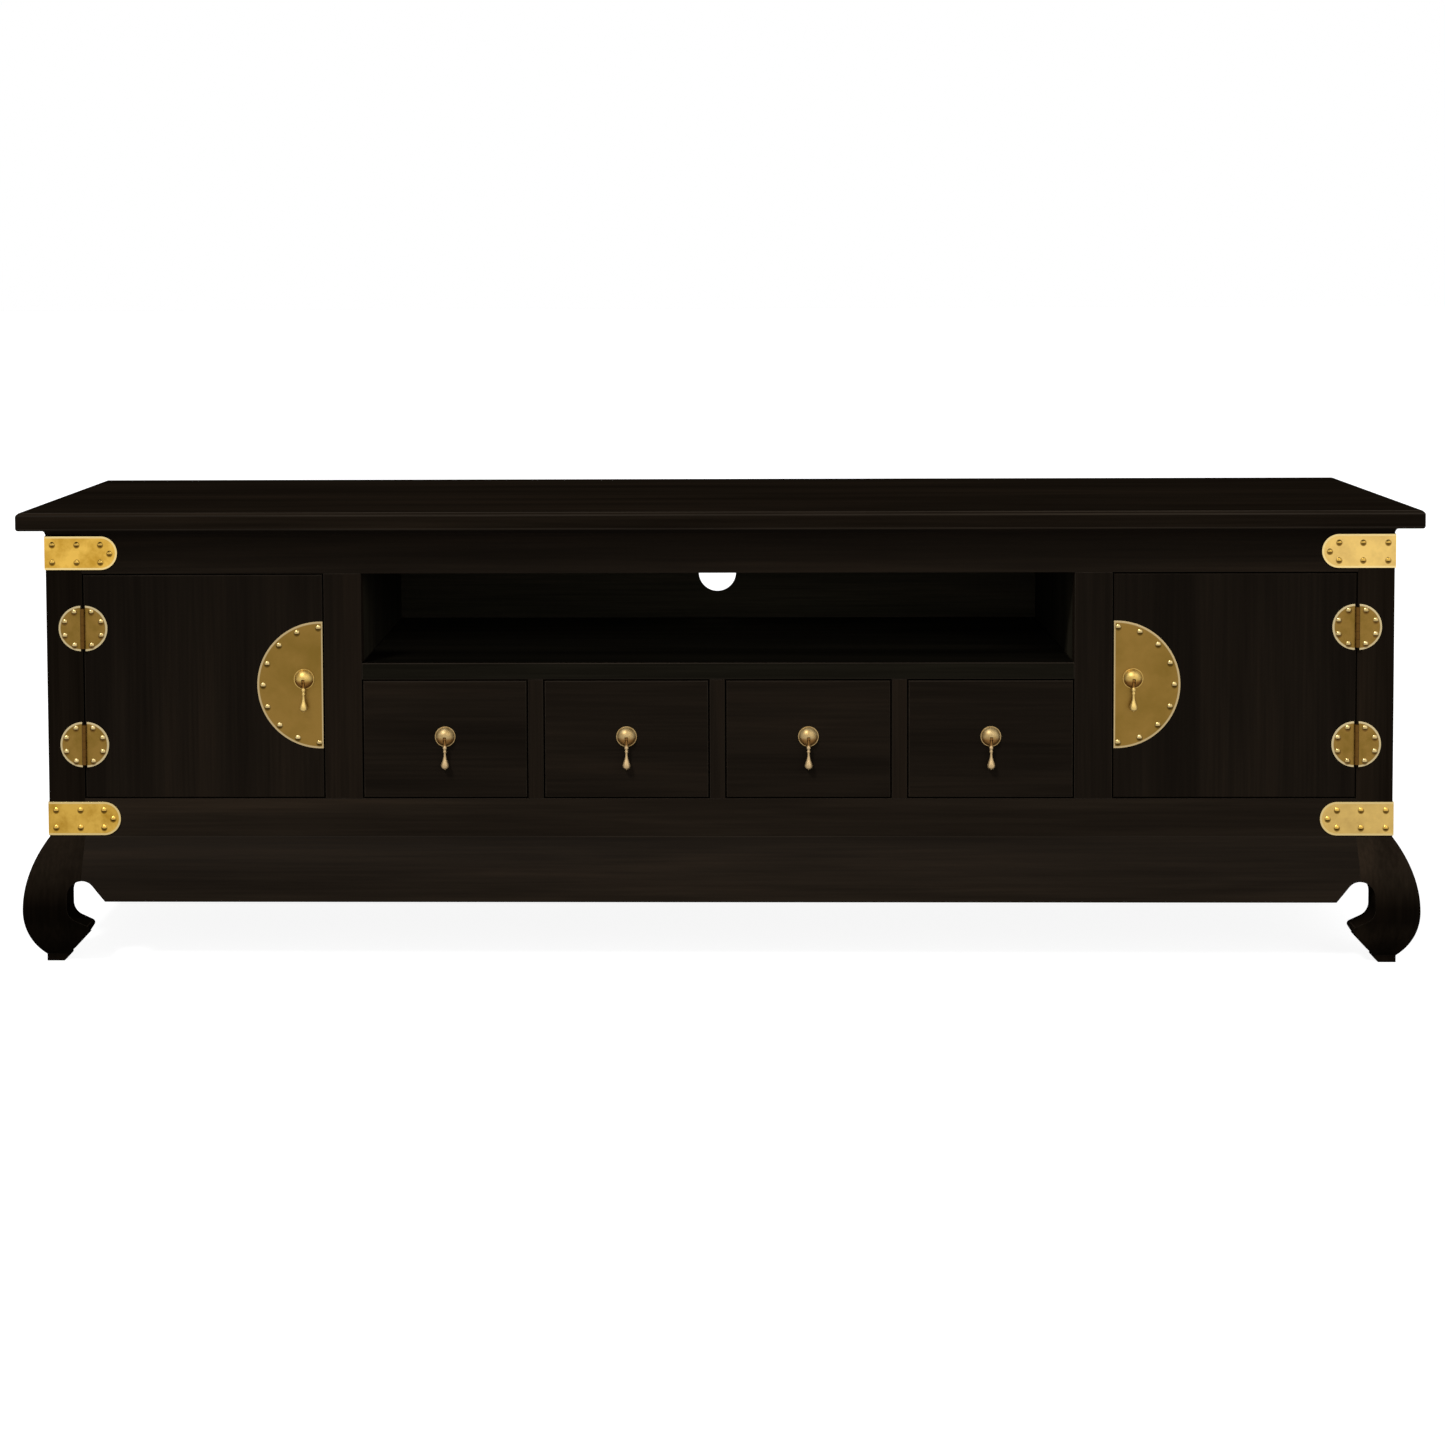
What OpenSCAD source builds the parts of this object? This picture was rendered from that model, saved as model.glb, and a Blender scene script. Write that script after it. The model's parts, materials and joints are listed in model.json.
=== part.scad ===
// Low TV cabinet with horse-hoof legs, two doors, four drawers and an open niche.
// Millimetres. The origin is on the floor under the middle of the top board; the front faces -Y.

/* [Overall] */
// Width over the top board
width = 2000; // [1600:1:2400]
// Depth over the top board
depth = 500; // [440:1:600]
// Height from the floor to the top surface
height = 655; // [600:1:760]

/* [Top board] */
// Thickness of the top board
top_t = 26; // [20:1:34]
// How far the top reaches past the front
top_over_front = 39; // [34:1:50]
// How far the top reaches past each side
top_over_side = 32; // [20:1:50]
// How far the top reaches past the back
top_over_back = 12; // [4:1:30]
// Chamfer along the upper edge of the top
top_chamfer = 4; // [1:0.5:8]
// Height of the cove moulding under the top
cove_h = 8.5; // [5:0.5:10]
// How far the cove moulding stands out
cove_out = 6; // [3:0.5:10]

/* [Frame] */
// Side of a square corner post
post_w = 52; // [44:1:60]
// Thickness of the rails, stiles and aprons
rail_t = 24; // [20:1:28]
// Height of the frieze rail and of the side and rear top rails
frieze_h = 66; // [58:1:90]
// Height of the bottom rail's upper edge, where doors and drawers start
sill_z = 236; // [225:1:260]
// Height of the aprons' straight lower edge
apron_z = 93.5; // [86:0.5:104]
// Width of the stile between a door and the niche
stile_w = 54; // [40:1:70]
// Clear width between the stiles
bay_w = 1025; // [900:1:1140]
// Length of the stub tenons on the rails
tenon_l = 20; // [12:1:24]
// Thickness of the stub tenons
tenon_t = 10; // [6:1:12]

/* [Legs] */
// Height at which the legs and aprons begin to swell
flare_z = 181; // [170:1:190]
// How far the legs swell past the body
bulge = 32; // [15:1:38]
// Height at which the swelling is widest
bulge_z = 80; // [70:1:95]
// How far the foot pad stands out past the body
heel_out = 5; // [0:0.5:10]
// Height of the foot pad
pad_h = 10; // [6:1:16]
// Width of the foot pad
pad_w = 30; // [24:1:40]
// How far the hoof's toe reaches in from the body's face
toe_reach = 62; // [57:1:67]
// Radius of the rounded toe
toe_r = 4; // [3:0.5:5]
// How far the hoof's sole bows out between pad and toe
sole_bow = 2; // [0.5:0.5:4]
// Radius of the arch between hoof and apron
arch_r = 21; // [18:0.5:23]
// Height of the arch's crown
arch_top_z = 122; // [118:0.5:128]
// Length of the arch's upright side between its upper and lower curve
arch_side = 17; // [12:0.5:22]
// Width of the leg beside the arch, from the body's face
neck_w = 31.5; // [28:0.5:36]
// Where the apron's straight lower edge starts, from the body's face
apron_inset = 87; // [84:1:110]
// Thickness of the leg's two arms behind the arch, over the swelling
leg_t = 40; // [34:1:50]

/* [Panels and boards] */
// Glue gap between the pieces of one group, such as a drawer's sides and back
glue_gap = 0.1; // [0.05:0.05:0.2]
// Thickness of the floating side panels
side_panel_t = 18; // [12:1:20]
// How far the side panels lie behind the rails' face
panel_recess = 4; // [2:0.5:8]
// Thickness and depth of the panels' tongues
tongue = 8; // [5:0.5:10]
// Thickness of the back panel
back_t = 9; // [6:0.5:12]
// Thickness of the bottom board
bottom_t = 16; // [12:1:20]
// Width of the ledge that the bottom board rests on
ledge_w = 10; // [6:1:12]
// Thickness of the partitions
partition_t = 18; // [15:1:22]
// Thickness of the media shelf
shelf_t = 24; // [18:1:30]
// Clear height of the niche
niche_h = 130; // [100:1:150]
// Depth of the grooves that the shelf's end tongues are housed in
housing_d = 6; // [4:0.5:8]
// Thickness of the shelf's end tongues
shelf_tongue_t = 12; // [8:1:16]
// Diameter of the cable hole
cable_d = 60; // [40:1:80]
// Distance of the cable hole's centre below the frieze rail
cable_down = 58; // [45:1:60]

/* [Doors] */
// Thickness of the doors
door_t = 22; // [18:1:24]
// Gap round the doors and drawer fronts
gap = 2; // [1.5:0.1:3]
// Chamfer on the front edges of doors and drawer fronts
ease = 1; // [0.5:0.1:2]

/* [Drawers] */
// Thickness of the drawer fronts
front_t = 22; // [16:1:24]
// Thickness of the dividers between drawers
divider_t = 22; // [18:1:28]
// Thickness of the drawer sides and backs
side_t = 12; // [9:1:15]
// Height of the drawer sides
side_h = 140; // [100:1:150]
// Thickness of the drawer bottoms
floor_t = 6; // [4:0.5:8]
// Height of a drawer bottom over the sides' lower edge
floor_up = 8; // [5:1:14]
// Length of the drawer sides
side_l = 350; // [250:1:380]
// Running gap between a drawer and the dividers
run_gap = 1.5; // [1:0.1:2]
// Gap between a drawer and the board that it slides on
slide_gap = 0.3; // [0.2:0.05:0.5]
// Length of a drawer stop
stop_l = 40; // [20:1:60]

/* [Corner straps] */
// Height of a corner strap
strap_h = 48.5; // [40:0.5:52]
// Reach of a corner strap from the corner
strap_reach = 104; // [90:1:120]
// Thickness of a corner strap
strap_t = 1.6; // [1:0.1:2.5]
// Gap between the top board and the upper strap
strap_drop = 11.5; // [9:0.5:16]
// Height of the lower strap's lower edge over the start of the flare
strap_rise = 2; // [1:0.5:5]

/* [Nails] */
// Radius of a nail's domed head
nail_r = 3.6; // [2:0.1:4]
// Height of a nail's domed head
nail_head_h = 1.6; // [1:0.1:1.7]
// Radius of a nail's shank
shank_r = 1.1; // [0.8:0.1:1.5]
// Length of a nail below its head
nail_l = 9; // [6:0.5:10]

/* [Butterfly hinges] */
// Radius of a hinge leaf
leaf_r = 33; // [26:1:36]
// How far each half disc's centre lies from the pin
leaf_shift = 2.3; // [0:0.1:4]
// Thickness of the hinge leaves and half-moon plates
plate_t = 1.6; // [1.2:0.1:2]
// Width of the bevel along a plate's rim
rim_w = 4.5; // [2:0.5:6]
// Radius of the knuckles
knuckle_r = 3.2; // [2.6:0.1:4]
// Length of the row of knuckles
knuckle_l = 58; // [40:1:64]
// Radius of a hinge pin
pin_r = 1.5; // [1:0.1:2]
// Radial clearance between the pin and the door's knuckles
pin_play = 0.05; // [0.03:0.01:0.1]
// Distance from a door's end to the centre of its hinge
hinge_inset = 77; // [60:1:100]
// Distance of the nails from the hinge leaves' rim
leaf_nail_in = 7; // [5:0.5:9]

/* [Half-moon plates] */
// Radius of a half-moon plate
moon_r = 92; // [70:1:110]
// Distance of the half-moon's centre from the door's free edge
moon_in = 3; // [0:0.5:8]
// Distance of the nails from the half-moon's rim
moon_nail_in = 8.5; // [6:0.5:12]
// Nails round a half-moon
moon_nails = 9; // [5:2:13]

/* [Drop pulls] */
// Radius of a pull's round base
boss_r = 14.7; // [12:0.1:16]
// Thickness of the round base
boss_base_t = 1.5; // [1:0.1:2]
// Radius of the dome on the base
dome_r = 13.7; // [11:0.1:14]
// Height of the dome over the base
dome_h = 9.5; // [9:0.1:11]
// Distance of the drop's pin from the wood or plate behind it
hang_out = 6.8; // [6.5:0.1:7]
// Distance of the drop's pin below the boss's centre
hang_down = 2; // [1:0.5:3]
// Radius of the drop's pin
hang_pin_r = 1; // [0.8:0.1:1.2]
// Radius of the drop's eye
eye_r = 3; // [2.6:0.1:3.2]
// Width of the drop's eye
eye_w = 4; // [3:0.1:4.4]
// Distance from the pin to the drop's lower end
drop_l = 45; // [36:1:52]
// Largest radius of the drop
drop_r = 5.8; // [4:0.1:5.8]
// Radius of the shank that holds the boss
shaft_r = 2.5; // [2:0.1:3]
// Height of the nut behind the wood
nut_h = 4; // [3:0.5:5]
// Radius of the nut over its corners
nut_r = 5; // [4.5:0.1:6]
// Distance of a drawer's pull above the front's middle
pull_up = 4; // [0:0.5:20]
// Distance of a door's pull from the door's free edge
door_pull_in = 27; // [20:1:40]
// Distance of a door's pull above the half-moon's centre
door_pull_up = 9; // [0:0.5:20]

/* [Catches] */
// Width of a magnetic catch
catch_w = 46; // [30:1:60]
// Depth of a magnetic catch
catch_d = 14; // [10:1:18]
// Height of a magnetic catch
catch_h = 34; // [26:1:40]
// How far the catch reaches below the frieze rail
catch_drop = 16; // [10:1:20]
// Thickness of the strike plate
strike_t = 1.2; // [0.8:0.1:1.5]
// Gap between a catch and its strike
catch_gap = 0.3; // [0.2:0.05:0.5]

/* [Hidden] */
$fn = 96;
eps = 0.01;
drawer_count = 4;

body_x = width / 2 - top_over_side;
front_y = -depth / 2 + top_over_front;
back_y = depth / 2 - top_over_back;
body_top = height - top_t;
lintel_z = body_top - frieze_h;
opening_h = lintel_z - sill_z;
rail_y = front_y + rail_t;

bay_x = bay_w / 2;
stile_x = bay_x + stile_w;
post_x = body_x - post_w;
shelf_z = lintel_z - niche_h;
shelf_under = shelf_z - shelf_t;
tongue_low = shelf_under + (shelf_t - shelf_tongue_t) / 2;
tongue_high = tongue_low + shelf_tongue_t;
back_in = rail_t - back_t - 2;
back_face_y = back_y - back_in - back_t;
panel_in = panel_recess + (side_panel_t - tongue) / 2;
side_face = panel_recess + side_panel_t;

door_w = post_x - stile_x - 2 * gap;
door_z = sill_z + gap;
door_h = opening_h - 2 * gap;
free_x = stile_x + gap;
hinge_x = post_x - gap / 2;
pin_out = knuckle_r + 0.2;
hinge_heights = [door_z + hinge_inset, door_z + door_h - hinge_inset];
moon_z = door_z + door_h / 2 + 2;
door_pull_x = free_x + door_pull_in;
door_pull_z = moon_z + door_pull_up;

drawer_bay = (bay_w - (drawer_count - 1) * divider_t) / drawer_count;
drawer_pitch = drawer_bay + divider_t;
drawer_front_w = drawer_bay - 2 * gap;
drawer_front_h = shelf_under - sill_z - 2 * gap;
drawer_w = drawer_bay - 2 * run_gap;
drawer_z = sill_z + slide_gap;
drawer_pull_z = sill_z + gap + drawer_front_h / 2 + pull_up;
drawer_back_y = front_y + front_t + side_l;

upper_strap_z = body_top - strap_drop - strap_h / 2;
lower_strap_z = flare_z + strap_rise + strap_h / 2;
strap_nail_in = 11.5;
strap_nail_row = strap_h / 2 - strap_nail_in;
strap_end_nail = 11;

knee_r = (bulge * bulge + pow(flare_z - bulge_z, 2)) / (2 * bulge);
heel_drop = bulge - heel_out;
hoof_r = (heel_drop * heel_drop + pow(bulge_z - pad_h, 2)) / (2 * heel_drop);
arch_u = neck_w + arch_r;
arch_z = arch_top_z - arch_r;
arch_low_z = arch_z - arch_side;
hook_turn = 245;
hook_end = [arch_u, arch_low_z] + arch_r * [cos(hook_turn), sin(hook_turn)];
toe_u = toe_reach - toe_r;
toe_z = hook_z(toe_u) - toe_r / -sin(hook_turn) - 0.3;
scoop_low = 30;
scoop_r = 16;

wood = "#2a1a14";
wood_dark = "#21140f";
wood_inside = "#4a3324";
brass = "#c9a14a";
brass_bright = "#e2bf5c";
brass_dark = "#a8843c";

function drawer_x(i) = (i - (drawer_count + 1) / 2) * drawer_pitch;
function nail_angle(i) = -90 + 2 + i * (180 - 4) / (moon_nails - 1);

DRAWER_NODES = [
    for (i = [1 : drawer_count], piece = ["front", "box", "pull_mount", "drop"]) str("drawer_", i, "_", piece)
];
DOOR_NODES = [
    for (
        side = ["left", "right"],
        piece = ["door", "door_hinge_leaves", "half_moon_plate", "door_nails", "catch_strike", "door_pull_mount",
            "door_drop"]
    ) str(piece, "_", side)
];

// Placing helpers

// A corner's own frame: X runs inward from the side face, Y inward from the front or back face.
module at_left_corner(rear = false) {
    if (rear) {
        translate([-body_x, back_y, 0]) mirror([0, 1, 0]) children();
    } else {
        translate([-body_x, front_y, 0]) children();
    }
}

module on_right() {
    mirror([1, 0, 0]) children();
}

module on_both_sides() {
    children();
    on_right() children();
}

// Turns an outline drawn in X and Y into a prism with its outline in X and Z that runs along +Y.
module along_y(length) {
    translate([0, length, 0]) rotate([90, 0, 0]) linear_extrude(length) children();
}

// Turns an outline drawn in X and Y into a prism with its X along Y and its Y along Z that runs along +X.
module along_x(length) {
    rotate([90, 0, 90]) linear_extrude(length) children();
}

// Box between two opposite corners
module block(low, high) {
    translate(low) cube(high - low);
}

// Legs and aprons

// Points along an arc between two angles
function arc(centre, r, from, to, steps = 12) =
    [for (i = [0 : steps]) let (a = from + (to - from) * i / steps) centre + r * [cos(a), sin(a)]];

// Points along a shallow arc from p to q that bows out by sag to the right of the way from p to q
function bow(p, q, sag, steps = 8) =
    let (
        half = norm(q - p) / 2,
        r = (half * half + sag * sag) / (2 * sag),
        way = (q - p) / (2 * half),
        centre = (p + q) / 2 - (r - sag) * [way[1], -way[0]],
        first = atan2(p[1] - centre[1], p[0] - centre[0]),
        turn = 2 * asin(half / r)
    )
    arc(centre, r, first, first + turn, steps);

// Height of the hook's upper side, which slopes down from the arch to the toe
function hook_z(u) = hook_end[1] + (u - hook_end[0]) / -tan(hook_turn);

// The arch between the hoof and the apron, in the corner's X and Z
module arch_outline() {
    polygon(concat(
        arc([arch_u, arch_z], arch_r, 39, 180, 18),
        arc([arch_u, arch_low_z], arch_r, 180, hook_turn),
        [[apron_inset, hook_z(apron_inset)], [apron_inset, apron_z]]
    ));
}

// The curved face from the flare down to the foot pad, as the area behind it
module swelling_outline() {
    intersection() {
        translate([knee_r - bulge, bulge_z]) circle(knee_r);
        translate([-bulge, bulge_z]) square([bulge + toe_reach, flare_z - bulge_z]);
    }
    intersection() {
        translate([hoof_r - bulge, bulge_z]) circle(hoof_r);
        translate([-bulge, pad_h]) square([bulge + toe_reach, bulge_z - pad_h]);
    }
    translate([-heel_out, 0]) square([pad_w, pad_h]);
}

// The inner side of the leg: pad, bowed sole, rounded toe, hook and neck
module inner_outline(out) {
    pad_in = pad_w - heel_out;
    polygon(concat(
        [[-out, flare_z], [-out, 0], [pad_in - 5, 0], [pad_in, 5], [pad_in + 2, pad_h]],
        bow([pad_in + 6, pad_h + 5], [toe_reach, toe_z - 2], sole_bow),
        arc([toe_u, toe_z], toe_r, 0, 60, 6),
        [[arch_u, arch_low_z], [post_w, arch_z], [post_w, flare_z]]
    ));
}

module leg_outline(swollen) {
    difference() {
        intersection() {
            inner_outline(swollen ? bulge : 0);
            if (swollen) {
                swelling_outline();
            } else {
                square([toe_reach, flare_z]);
            }
        }
        arch_outline();
    }
    translate([0, flare_z]) square([post_w, body_top - flare_z]);
}

// The room behind the leg's two arms, which meet at the corner like thick boards
module scoop(swollen_back) {
    u = leg_t - bulge;
    v = swollen_back ? u : rail_t;
    far = toe_reach + eps;
    translate([0, 0, scoop_low]) linear_extrude(arch_top_z + 8 - scoop_low) polygon(concat(
        arc([u + scoop_r, v + scoop_r], scoop_r, 180, 270),
        [[far, v], [far, far], [u, far]]
    ));
}

// Corner post and leg in one piece, in the corner's frame
module post_and_leg(swollen_back) {
    reach = bulge + toe_reach;
    difference() {
        intersection() {
            translate([0, -bulge, 0]) along_y(reach) leg_outline(true);
            translate([-bulge, 0, 0]) along_x(reach) leg_outline(swollen_back);
        }
        scoop(swollen_back);
        post_mortises();
        post_grooves(!swollen_back);
    }
}

// Mortises for the rails that run along X and along Y
module post_mortises() {
    for (z = [[lintel_z, body_top], [flare_z, sill_z]]) {
        low = z[0] + tenon_t;
        high = z[1] - tenon_t;
        block([post_w - tenon_l, (rail_t - tenon_t) / 2, low], [post_w + eps, (rail_t + tenon_t) / 2, high]);
        block([(rail_t - tenon_t) / 2, post_w - tenon_l, low], [(rail_t + tenon_t) / 2, post_w + eps, high]);
    }
}

// Grooves for the side panel and, in a rear post, for the back panel
module post_grooves(rear) {
    block([panel_in, post_w - tongue, sill_z - tongue], [panel_in + tongue, post_w + eps, lintel_z + tongue]);
    if (rear) {
        block([post_w - tongue, back_in, sill_z - tongue], [post_w + eps, back_in + back_t, lintel_z + tongue]);
    }
}

// Outline of a flared apron: X runs inward from the face, Y is up
module apron_section() {
    translate([0, flare_z]) square([rail_t, sill_z - flare_z]);
    intersection() {
        difference() {
            translate([knee_r - bulge, bulge_z]) circle(knee_r);
            translate([knee_r - bulge, bulge_z]) circle(knee_r - rail_t);
        }
        translate([-bulge, apron_z]) square([bulge + rail_t, flare_z - apron_z]);
    }
}

// Both ends' tenons of a rail of the given length that lies along X from X = 0
module rail_tenons(length, low, high) {
    for (x = [-tenon_l, length]) {
        block([x, (rail_t - tenon_t) / 2, low + tenon_t], [x + tenon_l, (rail_t + tenon_t) / 2, high - tenon_t]);
    }
}

// A rail between two posts that are the given distance apart, in the corner's frame with the post's edge at X = 0
module straight_rail(length, low, high) {
    block([0, 0, low], [length, rail_t, high]);
    rail_tenons(length, low, high);
}

module end_arches(length) {
    for (end = [0, 1]) {
        translate([end * length, -bulge - eps, 0]) mirror([end, 0, 0]) translate([-post_w, 0, 0])
            along_y(bulge + rail_t + 2 * eps) arch_outline();
    }
}

module flared_apron(length) {
    difference() {
        union() {
            along_x(length) apron_section();
            rail_tenons(length, flare_z, sill_z);
        }
        end_arches(length);
        block([0, rail_t - ledge_w, sill_z - bottom_t], [length, rail_t + eps, sill_z + eps]);
    }
}

// Carcass

function chamfered(half_w, low, high, c_low, c_high) = [
    [-half_w + c_low, low],
    [half_w - c_low, low],
    [half_w, low + c_low],
    [half_w, high - c_high],
    [half_w - c_high, high],
    [-half_w + c_high, high],
    [-half_w, high - c_high],
    [-half_w, low + c_low]
];

module top_board() {
    color(wood) intersection() {
        translate([0, -depth / 2, 0]) along_y(depth)
            polygon(chamfered(width / 2, body_top, height, top_chamfer / 2, top_chamfer));
        translate([-width / 2, 0, 0]) along_x(width)
            polygon(chamfered(depth / 2, body_top, height, top_chamfer / 2, top_chamfer));
    }
}

// Section of the cove moulding: X runs outward from the face, Y is up
module cove_section() {
    cove_r = cove_out - 0.5;
    translate([0, body_top - cove_h]) difference() {
        square([cove_out, cove_h]);
        translate([cove_out, 0]) circle(cove_r);
    }
}

module cove_moulding() {
    side_l_cove = back_y - front_y;
    color(wood) {
        intersection() {
            translate([-body_x - cove_out, front_y, 0]) along_x(2 * (body_x + cove_out))
                mirror([1, 0, 0]) cove_section();
            linear_extrude(height) polygon([
                [-body_x - cove_out, front_y - cove_out],
                [body_x + cove_out, front_y - cove_out],
                [body_x, front_y],
                [-body_x, front_y]
            ]);
        }
        on_both_sides() intersection() {
            translate([-body_x, front_y - cove_out, 0]) along_y(side_l_cove + cove_out)
                mirror([1, 0, 0]) cove_section();
            linear_extrude(height) polygon([
                [-body_x - cove_out, front_y - cove_out + glue_gap],
                [-body_x, front_y + glue_gap],
                [-body_x, back_y],
                [-body_x - cove_out, back_y]
            ]);
        }
    }
}

module front_post_left() {
    color(wood) at_left_corner() post_and_leg(true);
}

module front_post_right() {
    on_right() front_post_left();
}

module rear_post_left() {
    color(wood) at_left_corner(true) post_and_leg(false);
}

module rear_post_right() {
    on_right() rear_post_left();
}

module frieze_rail() {
    color(wood) translate([-post_x, front_y, 0]) straight_rail(2 * post_x, lintel_z, body_top);
}

module front_apron() {
    color(wood) translate([-post_x, front_y, 0]) flared_apron(2 * post_x);
}

module stile_left() {
    color(wood) block([-stile_x, front_y, sill_z], [-bay_x, rail_y, lintel_z]);
}

module stile_right() {
    on_right() stile_left();
}

// Places a rail that is drawn along X into the left side, running from the front post to the rear post
module in_left_side() {
    translate([-body_x, back_y - post_w, 0]) rotate([0, 0, -90]) children();
}

side_span = back_y - front_y - 2 * post_w;

module side_rail_left() {
    color(wood) in_left_side() difference() {
        straight_rail(side_span, lintel_z, body_top);
        block([-eps, panel_in, lintel_z - eps], [side_span + eps, panel_in + tongue, lintel_z + tongue]);
    }
}

module side_rail_right() {
    on_right() side_rail_left();
}

module side_apron_left() {
    color(wood) in_left_side() difference() {
        flared_apron(side_span);
        block([-eps, panel_in, sill_z - tongue], [side_span + eps, panel_in + tongue, sill_z + eps]);
    }
}

module side_apron_right() {
    on_right() side_apron_left();
}

module side_panel_left() {
    color(wood) in_left_side() {
        block([0, panel_recess, sill_z], [side_span, side_face, lintel_z]);
        block([-tongue, panel_in, sill_z - tongue], [side_span + tongue, panel_in + tongue, lintel_z + tongue]);
    }
}

module side_panel_right() {
    on_right() side_panel_left();
}

// Places a rail that is drawn along X into the back, running between the rear posts
module in_back() {
    translate([-post_x, back_y, 0]) mirror([0, 1, 0]) children();
}

module back_groove(low, high) {
    block([-eps, back_in, low], [2 * post_x + eps, back_in + back_t, high]);
}

module rear_rail() {
    color(wood_dark) in_back() difference() {
        straight_rail(2 * post_x, lintel_z, body_top);
        back_groove(lintel_z - eps, lintel_z + tongue);
    }
}

module rear_apron() {
    color(wood_dark) in_back() difference() {
        union() {
            block([0, 0, apron_z], [2 * post_x, rail_t, sill_z]);
            rail_tenons(2 * post_x, flare_z, sill_z);
        }
        end_arches(2 * post_x);
        back_groove(sill_z - tongue, sill_z + eps);
    }
}

module back_panel() {
    color(wood_dark) difference() {
        in_back() block(
            [-tongue, back_in, sill_z - tongue],
            [2 * post_x + tongue, back_in + back_t, lintel_z + tongue]
        );
        translate([0, back_face_y - 1, lintel_z - cable_down]) rotate([-90, 0, 0]) cylinder(d = cable_d, h = back_t + 2);
    }
}

module bottom_board() {
    edge = rail_t - ledge_w;
    color(wood_dark) difference() {
        block([-body_x + edge, front_y + edge, sill_z - bottom_t], [body_x - edge, back_y - rail_t, sill_z]);
        on_both_sides() {
            for (rear = [false, true]) {
                at_left_corner(rear) block([0, 0, 0], [post_w, post_w, height]);
            }
        }
        on_both_sides() in_left_side()
            block([0, panel_in - eps, sill_z - tongue], [side_span, panel_in + tongue, sill_z + eps]);
    }
}

module partition_left() {
    color(wood_dark) difference() {
        block([-bay_x - partition_t, rail_y, sill_z], [-bay_x, back_face_y, body_top]);
        block(
            [-bay_x - partition_t - eps, back_y - rail_t, lintel_z],
            [-bay_x + eps, back_face_y + eps, body_top + eps]
        );
        block([-bay_x - housing_d, rail_y - eps, tongue_low], [-bay_x + eps, back_face_y + eps, tongue_high]);
    }
}

module partition_right() {
    on_right() partition_left();
}

module media_shelf() {
    color(wood) {
        block([-bay_x, front_y, shelf_under], [bay_x, back_face_y, shelf_z]);
        block([-bay_x - housing_d, rail_y, tongue_low], [bay_x + housing_d, back_face_y, tongue_high]);
    }
}

module drawer_dividers() {
    color(wood) for (i = [1 : drawer_count - 1]) {
        x = (drawer_x(i) + drawer_x(i + 1)) / 2;
        block([x - divider_t / 2, front_y, sill_z], [x + divider_t / 2, back_face_y, shelf_under]);
    }
}

module drawer_stops() {
    color(wood_inside) for (i = [1 : drawer_count]) {
        translate([drawer_x(i) - stop_l / 2, drawer_back_y + slide_gap, sill_z]) cube([stop_l, side_t, 2 * side_t]);
    }
}

// Nails

// A domed nail whose plate's face is at Z = 0 and whose shank runs down
module nail() {
    dome_ball_r = (nail_r * nail_r + nail_head_h * nail_head_h) / (2 * nail_head_h);
    rotate_extrude() intersection() {
        translate([0, nail_head_h - dome_ball_r]) circle(dome_ball_r);
        square([nail_r, nail_head_h]);
    }
    translate([0, 0, -nail_l]) cylinder(r = shank_r, h = nail_l);
}

// Turns a child that faces +Z to face the front, -Y
module facing_front() {
    rotate([90, 0, 0]) children();
}

// Nail places on one leg of a corner strap, as distances from the corner and from the strap's middle
strap_nail_spots = [
    for (x = [10, 45.5, strap_reach - strap_h / 2], z = [-strap_nail_row, strap_nail_row]) [x, z],
    [strap_reach - strap_end_nail, 0]
];

// Nail places on the half of a hinge that lies towards -X, from the hinge's centre
hinge_nail_spots = [
    for (a = [112.5, 157.5, 202.5, 247.5])
        [-leaf_shift + (leaf_r - leaf_nail_in) * cos(a), (leaf_r - leaf_nail_in) * sin(a)]
];

// Nail places on a half-moon that bulges towards -X, from its centre
moon_nail_spots = [
    for (i = [0 : moon_nails - 1])
        [-(moon_r - moon_nail_in) * cos(nail_angle(i)), (moon_r - moon_nail_in) * sin(nail_angle(i))]
];

module at_spots(spots) {
    for (s = spots) {
        translate([s[0], s[1], 0]) children();
    }
}

module nail_holes(spots, thickness) {
    at_spots(spots) translate([0, 0, -1]) cylinder(r = shank_r + 0.05, h = thickness + 2);
}

// Corner straps

// One flat leg of a strap, drawn in X and Y with the corner at X = 0
module strap_outline() {
    end_r = strap_h / 2;
    translate([0, -end_r]) square([strap_reach - end_r, strap_h]);
    translate([strap_reach - end_r, 0]) circle(end_r);
}

module strap_leg() {
    difference() {
        linear_extrude(strap_t) strap_outline();
        nail_holes(strap_nail_spots, strap_t);
    }
}

// Places a child drawn on the front face's plane against the left front corner, front leg then side leg
module on_strap_legs() {
    translate([-body_x, front_y, 0]) facing_front() children();
    translate([-body_x, front_y, 0]) rotate([0, 0, -90]) mirror([1, 0, 0]) facing_front() children();
}

module corner_straps() {
    color(brass_bright) on_both_sides() for (z = [lower_strap_z, upper_strap_z]) {
        translate([0, 0, z]) {
            on_strap_legs() strap_leg();
            translate([-body_x, front_y, -strap_h / 2]) intersection() {
                cylinder(r = strap_t, h = strap_h);
                translate([-strap_t, -strap_t, 0]) cube([strap_t, strap_t, strap_h]);
            }
        }
    }
}

// Hinges

// Disc with a bevelled rim, lying on Z = 0
module bevelled_disc(r) {
    rotate_extrude() polygon([[0, 0], [r, 0], [r, plate_t / 2], [r - rim_w, plate_t], [0, plate_t]]);
}

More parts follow.
